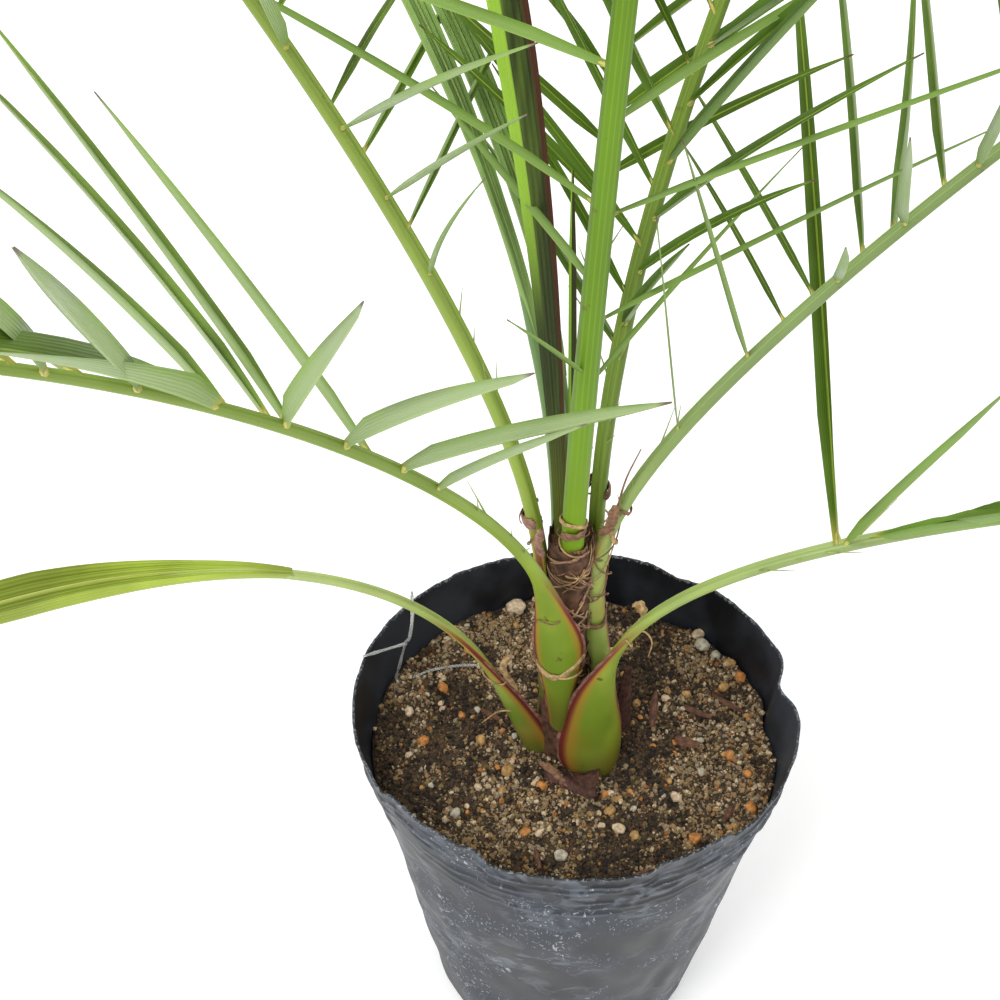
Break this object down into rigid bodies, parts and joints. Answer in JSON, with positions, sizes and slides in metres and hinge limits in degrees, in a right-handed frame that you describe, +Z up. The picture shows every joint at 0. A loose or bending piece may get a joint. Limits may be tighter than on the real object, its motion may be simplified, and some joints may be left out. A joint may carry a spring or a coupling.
{
  "type": "potted date palm",
  "caption": "Young feather palm with arching fronds, strap leaves and upright spears, rooted in sandy soil in a round soft film nursery pot.",
  "frame": {"origin": "centre of the pot's flat underside", "axes": "+Z up the stem, +X to the right and +Y away from the viewer in the usual front view"},
  "size_m": [0.7928, 0.6677, 0.7723],
  "materials": {
    "pot_film": "soft black film with a slight sheen and pale scuffs",
    "soil": "sand and gravel with orange pebbles",
    "leaf_base": "fibrous brown leaf bases",
    "dry_sheath": "dry papery maroon",
    "spear": "dark green, finely striped",
    "petiole": "smooth yellow-green",
    "leaf": "satin green leaflets"
  },
  "bodies": {
    "root": {"pot": "pot_film", "soil": "soil", "stem": "leaf_base", "dead_sheath_right": "dry_sheath", "dead_sheath_front": "dry_sheath", "spear_tall": "spear", "spear_short": "spear", "stalk_right_low": "petiole", "blade_right_low": "leaf", "stalk_left_strap": "petiole", "blade_left_strap": "leaf", "stalk_left_front": "petiole", "blade_left_front": "leaf", "stalk_front_upright": "petiole", "blade_front_upright": "leaf", "stalk_left_back": "petiole", "blade_left_back": "leaf", "stalk_right": "petiole", "blade_right": "leaf", "stalk_back_right": "petiole", "blade_back_right": "leaf", "stalk_back_left_strap": "petiole", "blade_back_left_strap": "leaf", "stalk_back": "petiole", "blade_back": "leaf", "stalk_back_strap": "petiole", "blade_back_strap": "leaf"}
  },
  "joints": []
}
